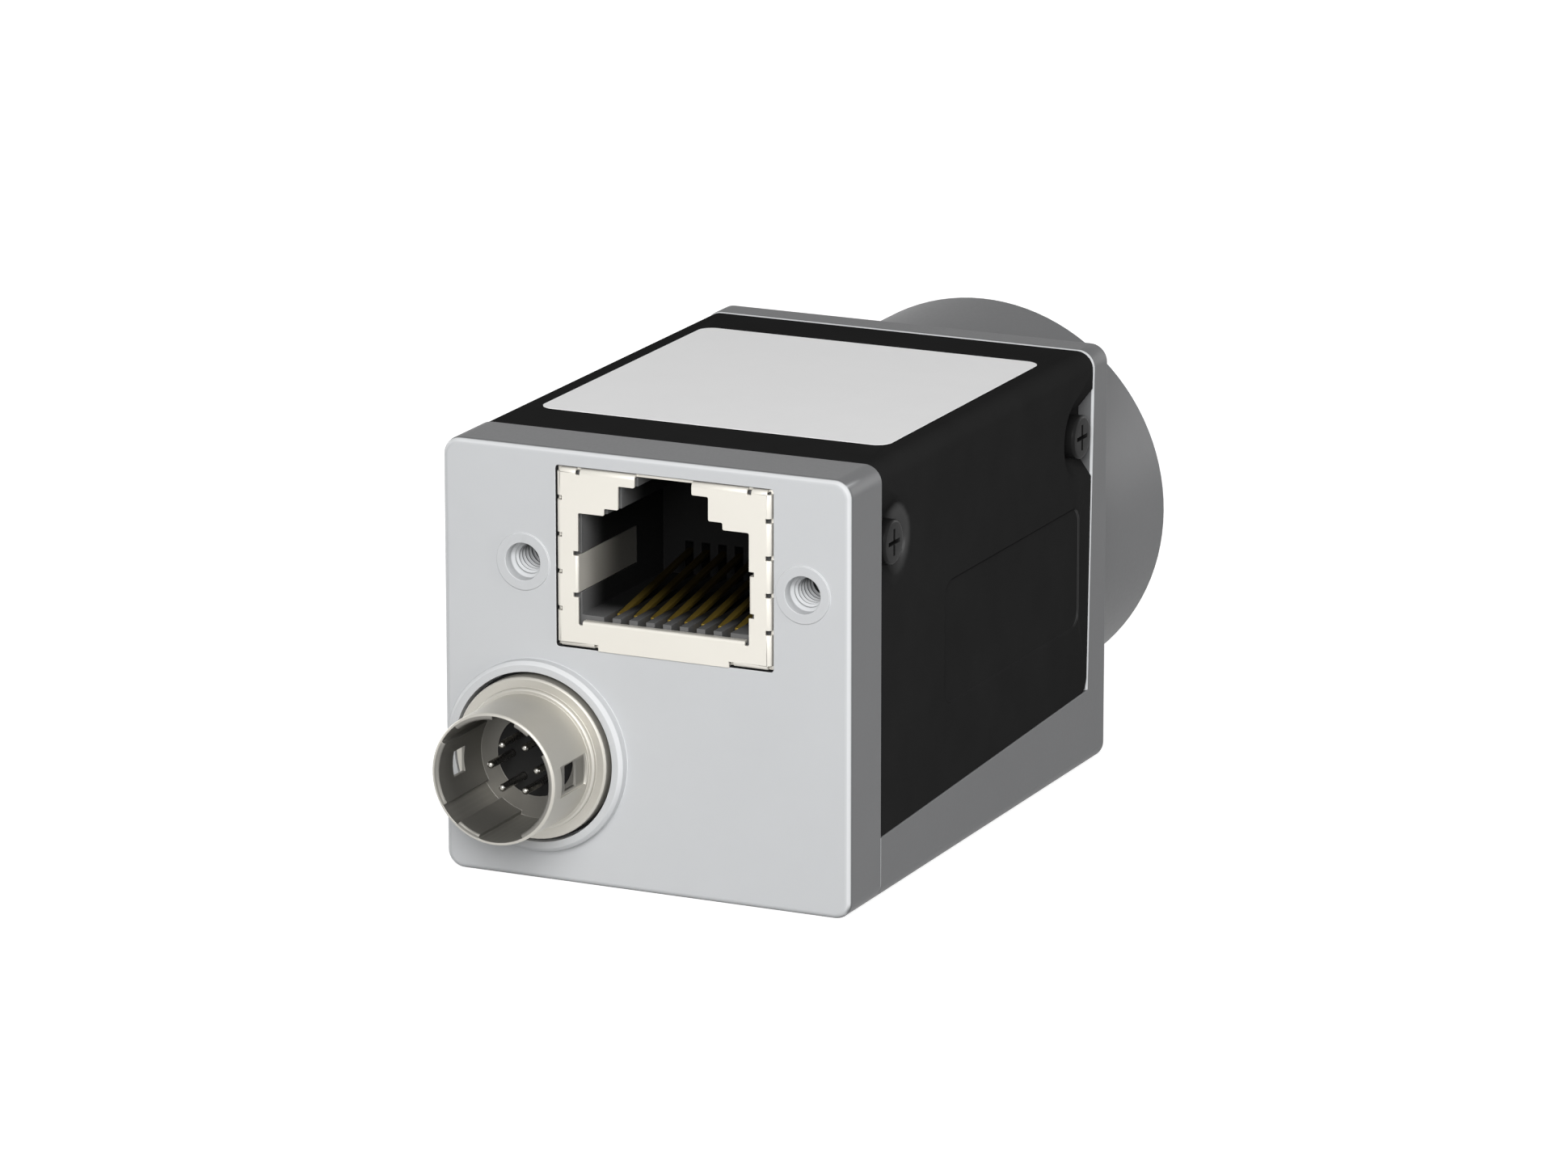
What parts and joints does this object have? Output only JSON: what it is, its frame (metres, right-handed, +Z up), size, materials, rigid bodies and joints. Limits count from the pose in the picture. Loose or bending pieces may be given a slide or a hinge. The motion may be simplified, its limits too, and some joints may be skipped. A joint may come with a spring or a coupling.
{
  "type": "machine vision camera",
  "caption": "Small box-shaped industrial camera with a threaded lens mount at the front, a network socket and a round pin connector behind.",
  "frame": {"origin": "centre of the lens mount's flange face, on the optical axis", "axes": "the lens points along -Y, the connectors point along +Y, +Z is up and the base faces -Z"},
  "size_m": [0.029, 0.0604, 0.029],
  "materials": {
    "housing_paint": "fine satin powder paint",
    "cover_paint": "black satin paint",
    "rear_paint": "pale grey satin paint",
    "screw_black": "blackened steel",
    "label_film": "matt film",
    "holder_plastic": "black matt",
    "filter_glass": "coated clear glass",
    "gasket_foam": "soft black foam",
    "ceramic": "dark ceramic",
    "silicon": "polished silicon",
    "sensor_glass": "clear cover glass",
    "board_green": "solder mask",
    "chip_black": "moulded package",
    "connector_black": "moulded plastic",
    "spacer_brass": "nickel-plated brass",
    "inner_screw": "zinc-plated steel",
    "pad_soft": "soft silicone",
    "shield_metal": "bright tin-plated sheet",
    "insert_black": "moulded plastic",
    "contact_gold": "gilt",
    "shell_nickel": "satin nickel plate",
    "core_black": "moulded plastic",
    "pin_gold": "pale gilt",
    "seal_rubber": "matt rubber"
  },
  "bodies": {
    "root": {"front_housing": "housing_paint", "top_cover": "cover_paint", "rear_plate": "rear_paint", "cover_screws": "screw_black", "top_label": "label_film", "filter_holder": "holder_plastic", "filter_glass": "filter_glass", "sensor_gasket": "gasket_foam", "image_sensor": "ceramic", "sensor_die": "silicon", "sensor_window": "sensor_glass", "sensor_board": "board_green", "board_spacers": "spacer_brass", "processor_board": "board_green", "board_screws": "inner_screw", "board_plug": "connector_black", "board_socket": "connector_black", "processor_chip": "chip_black", "memory_chip": "chip_black", "thermal_pad": "pad_soft", "interface_board": "board_green", "interface_connector": "connector_black", "network_transformer": "chip_black", "network_shield": "shield_metal", "network_insulator": "insert_black", "network_contacts": "contact_gold", "power_shell": "shell_nickel", "power_insulator": "core_black", "power_pins": "pin_gold", "power_gasket": "seal_rubber", "power_nut": "shell_nickel", "power_board": "board_green", "power_header": "connector_black"}
  },
  "joints": []
}
